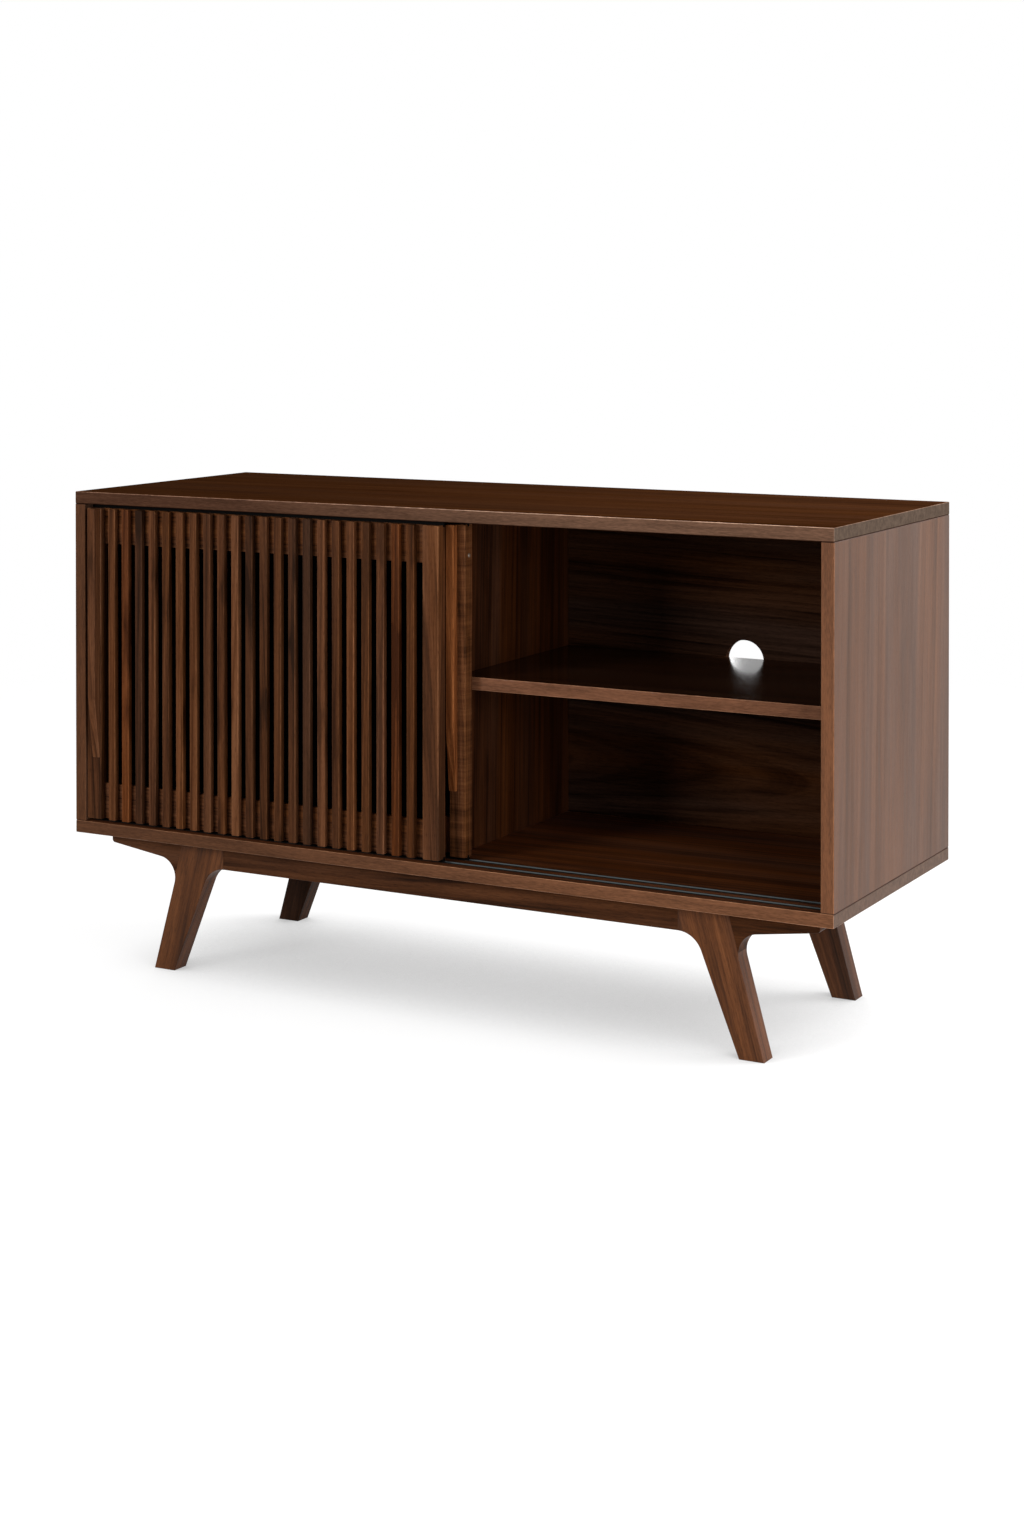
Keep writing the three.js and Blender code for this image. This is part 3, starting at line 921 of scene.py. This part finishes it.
for number, name in enumerate(named("front_frame", "rear_frame")):
    at_front = name.startswith("front")
    finish_board(
        name,
        f"walnut_{name}",
        # The dark timber of the rear frame paints its shade under the case.
        timber="brown" if at_front else "dark",
        grain=leg_grain(name),
        pith=(0.05, 0.03),
        askew=2.0,
        spacing=0.012,
        brightness=FRAME_BRIGHTNESS.get(name, 1.2 if at_front else 1.0),
        contrast=1.2,
        smoky=0.3 if at_front else 0.6,
        specular=FRAME_SPECULAR.get(name, 0.12 if "leg" in name else 0.04),
        worn=0.0,
        seed=91.0 + number,
    )
print("leg frames finished")

# %% [markdown]
# ## Tracks, runners and stops
# The channels are dark extruded plastic, the runners black nylon, and the stop is clear soft
# rubber. They are moulded, so they have no grain, but one flat colour would look like a drawing:
# a cloudy tint and a very fine bump make them a material. The inner walls of the lower channels
# near the lips get a painted highlight, a pale line that stands in for the white surround
# mirrored in them. A mask finds those walls by their place and direction.

# %% Finish the mouldings
# A painted highlight: the white surround mirrored in the lower channels' inner walls.
PAINTED_WALL_HIGHLIGHT = (0.112, 0.130, 0.134)
CLOUD_WAVES = (90.0, 90.0, 90.0)
SKIN_WAVES = (4000.0, 4000.0, 4000.0)
OUTER_WALL = 0.3 * MM
LIP_HEIGHT = 2.2 * MM

# Colour, roughness, mottling and specular level.
CHANNEL_PLASTIC = ((0.0035, 0.0028, 0.0024), 0.6, 0.2, 0.0)
HIGHLIT_CHANNEL = ((0.010, 0.010, 0.010), 0.5, 0.2, 0.05)
BLACK_NYLON = ((0.0030, 0.0025, 0.0022), 0.45, 0.15, 0.02)
CLEAR_RUBBER = ((0.20, 0.14, 0.10), 0.22, 0.05, 0.5)


def paint_wall_highlight(tree, tint, coordinates, inner_front, lip_height):
    """Paints a highlight on a channel's upright walls above lip_height and behind inner_front."""
    looks_along = split(tree, coordinates["Normal"])["Y"]
    walls = remap(tree, calculate(tree, "ABSOLUTE", looks_along), 0.6, 0.9)
    spot = split(tree, coordinates["Object"])
    inside = calculate(tree, "GREATER_THAN", spot["Y"], inner_front)
    lip = calculate(tree, "GREATER_THAN", spot["Z"], lip_height)
    highlit_walls = calculate(tree, "MULTIPLY", calculate(tree, "MULTIPLY", walls, lip), inside)
    return mix(tree, highlit_walls, tint, PAINTED_WALL_HIGHLIGHT)


def moulding(name, colour, roughness, mottling, specular, wall_highlight=None):
    material, tree, surface = new_material(name)
    coordinates = add(tree, "ShaderNodeTexCoord").outputs
    cloud = noise(tree, coordinates["Object"], CLOUD_WAVES, detail=3.0)
    tint = mix(tree, cloud, shade(colour, 1 - mottling), shade(colour, 1 + mottling))
    if wall_highlight:
        tint = paint_wall_highlight(tree, tint, coordinates, *wall_highlight)
    gloss = calculate(tree, "MULTIPLY_ADD", cloud, 0.2, roughness - 0.1)
    skin = noise(tree, coordinates["Object"], SKIN_WAVES, detail=1.0)
    carve = {"Height": skin, "Strength": 0.15, "Distance": 0.1 * MM}
    coat(tree, surface, tint, gloss, add(tree, "ShaderNodeBump", carve), specular)
    return material


finish(named("top_track"), moulding("track_plastic", *CHANNEL_PLASTIC))
# The lower channels get the painted highlight on their inner walls.
for name in named("bottom_track"):
    low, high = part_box(name)
    highlight_from = (low.y + OUTER_WALL, high.z - LIP_HEIGHT)
    finish([name], moulding(f"worn_{name}", *HIGHLIT_CHANNEL, wall_highlight=highlight_from))
finish(runners, moulding("runner_nylon", *BLACK_NYLON))
finish(["rear_door_bumper"], moulding("bumper_rubber", *CLEAR_RUBBER))
print("mouldings finished")

# %% [markdown]
# ## Black felt behind the slats
# A sheet of felt closes each door from behind, so that the gaps look black and the shelves stay
# hidden. Its near-black colour also paints the deep shade behind the slats. Hair particles would
# be lost on a sheet that is seen through gaps a finger wide. Felt reflects nothing clearly, so its
# specular level is 0, and two sizes of noise make the fuzz.

# %% Finish the felt
FUZZ_WAVES = (1400.0, 1400.0, 1400.0)
CLUMP_WAVES = (150.0, 150.0, 150.0)


def felt(name, colour):
    material, tree, surface = new_material(name)
    position = add(tree, "ShaderNodeTexCoord").outputs["Object"]
    fuzz = noise(tree, position, FUZZ_WAVES, detail=3.0, roughness=0.7)
    clumps = noise(tree, position, CLUMP_WAVES)
    tint = mix(tree, clumps, shade(colour, 0.6), shade(colour, 1.4))
    gloss = remap(tree, fuzz, 0.2, 0.8, 0.85, 1.0)
    carve = {"Height": fuzz, "Strength": 0.5, "Distance": 0.4 * MM}
    coat(tree, surface, tint, gloss, add(tree, "ShaderNodeBump", carve), 0.0)
    return material


backings = named("front_door_backing", "rear_door_backing")
# Near-black felt: its colour also paints the shade behind the slats.
finish(backings, felt("backing_felt", (0.0035, 0.0033, 0.0032)))
print("felt on", len(backings), "backings")

# %% [markdown]
# ## The surround
# A studio for furniture is a white room. It has to look white to the camera, in polished faces
# and through glass, but if all that white also lit the cabinet, the timber would look washed out.
# The Light Path node tells the two apart: the world is white to the eye, and the light it sheds
# on things stays low.

# %% Surround
SURROUND_LIGHT = 0.06
WHITE = (1.0, 1.0, 1.0)


def white_to_eye(tree):
    """1 for camera, mirror and glass rays, 0 for the light that falls on things."""
    path = add(tree, "ShaderNodeLightPath").outputs
    seen = calculate(tree, "MAXIMUM", path["Is Camera Ray"], path["Is Glossy Ray"])
    return calculate(tree, "MAXIMUM", seen, path["Is Transmission Ray"])


world = bpy.data.worlds.new("studio")
bpy.context.scene.world = world
world.use_nodes = True
air = world.node_tree
backdrop = air.nodes["Background"]
backdrop.inputs["Color"].default_value = solid(WHITE)
strength = remap(air, white_to_eye(air), 0.0, 1.0, SURROUND_LIGHT, 1.0)
air.links.new(strength, backdrop.inputs["Strength"])
print("surround sheds", SURROUND_LIGHT, "of the white it shows")

# %% [markdown]
# ## The floor
# The floor is a pale disc that melts into the surround, so that only the soft shadow under the
# cabinet tells where it is. A plain white floor would go grey towards its rim. This one glows
# faintly to the eye, the glow is held back where the cabinet closes off the sky, and the rim
# fades to clear. To the light it is an ordinary pale floor that throws some of it back up.

# %% Floor
FLOOR_RADIUS = 3.5
SHADOW_REACH = 0.45
FADE_FROM = 1.4
FADE_TO = 3.2


def diffuse(tree, level):
    return add(tree, "ShaderNodeBsdfDiffuse", {"Color": solid(shade(WHITE, level))}).outputs[0]


def blend(tree, kind, first, second, factor=None):
    """Adds two shaders, or mixes them by a factor. The shaders are the last two sockets."""
    made = add(tree, kind, {} if factor is None else {0: factor})
    tree.links.new(first, made.inputs[-2])
    tree.links.new(second, made.inputs[-1])
    return made.outputs[0]


bpy.ops.object.select_all(action="DESELECT")
stand = (0, 0, cad_low.z)
disc = {"vertices": 96, "radius": FLOOR_RADIUS, "fill_type": "NGON"}
bpy.ops.mesh.primitive_circle_add(location=stand, **disc)
floor = bpy.context.active_object
floor.name = "studio_floor"
pale_floor = bpy.data.materials.new("pale_floor")
pale_floor.use_nodes = True
tree = pale_floor.node_tree
tree.nodes.clear()
open_sky = add(tree, "ShaderNodeAmbientOcclusion", {"Distance": SHADOW_REACH}, samples=12)
glow_level = remap(tree, open_sky.outputs["AO"], 0.24, 0.63, 0.47, 0.92)
glow = add(tree, "ShaderNodeEmission", {"Color": solid(WHITE), "Strength": glow_level}).outputs[0]
to_eye = blend(tree, "ShaderNodeAddShader", diffuse(tree, 0.22), glow)
lit = blend(tree, "ShaderNodeMixShader", diffuse(tree, 0.80), to_eye, white_to_eye(tree))
away = length(tree, add(tree, "ShaderNodeTexCoord").outputs["Object"])
fade = remap(tree, away, FADE_FROM, FADE_TO, smooth=True)
clear_rim = add(tree, "ShaderNodeBsdfTransparent").outputs[0]
floor_shader = blend(tree, "ShaderNodeMixShader", lit, clear_rim, fade)
add(tree, "ShaderNodeOutputMaterial", {"Surface": floor_shader})
floor.data.materials.append(pale_floor)
floor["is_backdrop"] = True
print("floor", 2 * FLOOR_RADIUS, "m across")

# %% [markdown]
# ## The lamps
# Five softboxes light the cabinet. A large lamp close by gives soft shadows and broad, quiet
# reflections, which suits oiled timber. The key lamp stands at the front left and models the
# slats, the lamps at the right light the side, and those behind rim the top. Sizes are metres
# and powers are watts.

# %% Lamps
SOFTBOXES = {
    "softbox_key": ((-1.35, -2.9, 1.25), (0.0, 0.0, 0.35), (0.9, 0.7), 47),
    "softbox_right": ((2.3, -1.3, 0.8), (0.3, 0.0, 0.35), (1.4, 1.1), 34),
    "softbox_above": ((1.7, 0.3, 1.9), (0.3, 0.0, 0.45), (1.4, 1.4), 13),
    "softbox_back_right": ((2.2, 1.5, 1.9), (0.2, 0.0, 0.4), (1.5, 1.5), 76),
    "softbox_back_left": ((-1.6, 2.6, 1.4), (0.0, 0.0, 0.4), (1.6, 1.4), 23),
}

for name, (stand, aim, size, power) in SOFTBOXES.items():
    bpy.ops.object.light_add(type="AREA", location=stand)
    lamp = bpy.context.active_object
    lamp.name = name
    lamp.data.shape = "RECTANGLE"
    lamp.data.size, lamp.data.size_y = size
    lamp.data.energy = power
    lamp.rotation_euler = (Vector(aim) - Vector(stand)).to_track_quat("-Z", "Y").to_euler()
print(len(SOFTBOXES), "softboxes,", sum(box[3] for box in SOFTBOXES.values()), "W in all")

# %% [markdown]
# ## The camera
# The camera stands to the right of the cabinet, a little above it. It could be tilted down to
# centre the cabinet, but then the uprights of the case would lean. So it looks almost level, its
# lens is shifted down instead, and the uprights stay parallel, as in furniture catalogues.

# %% Camera
CAMERA_PLACE = (1.7691, -3.2171, 1.0096)
CAMERA_DIP = math.radians(0.819)
CAMERA_TURN = math.radians(28.53)

bpy.ops.object.camera_add(location=CAMERA_PLACE)
camera = bpy.context.active_object
camera.name = "studio_camera"
camera.rotation_euler = (math.radians(90) - CAMERA_DIP, 0.0, CAMERA_TURN)
camera.data.lens = 59.59
camera.data.sensor_width = 36.0
camera.data.shift_y = -0.290
camera.data.clip_start = 0.05
bpy.context.scene.camera = camera
bpy.context.scene.view_settings.view_transform = "Standard"
print("camera at", [round(value, 3) for value in camera.location])

# %% [markdown]
# ## Sizes
# Finishing takes nothing away from a cabinet and adds nothing to it. The box of the finished
# cabinet is printed, like the box that was loaded at the start, so that the two can be compared.

# %% Print the size of the finished cabinet
low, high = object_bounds()
print("visual size", [round(size, 4) for size in high - low])
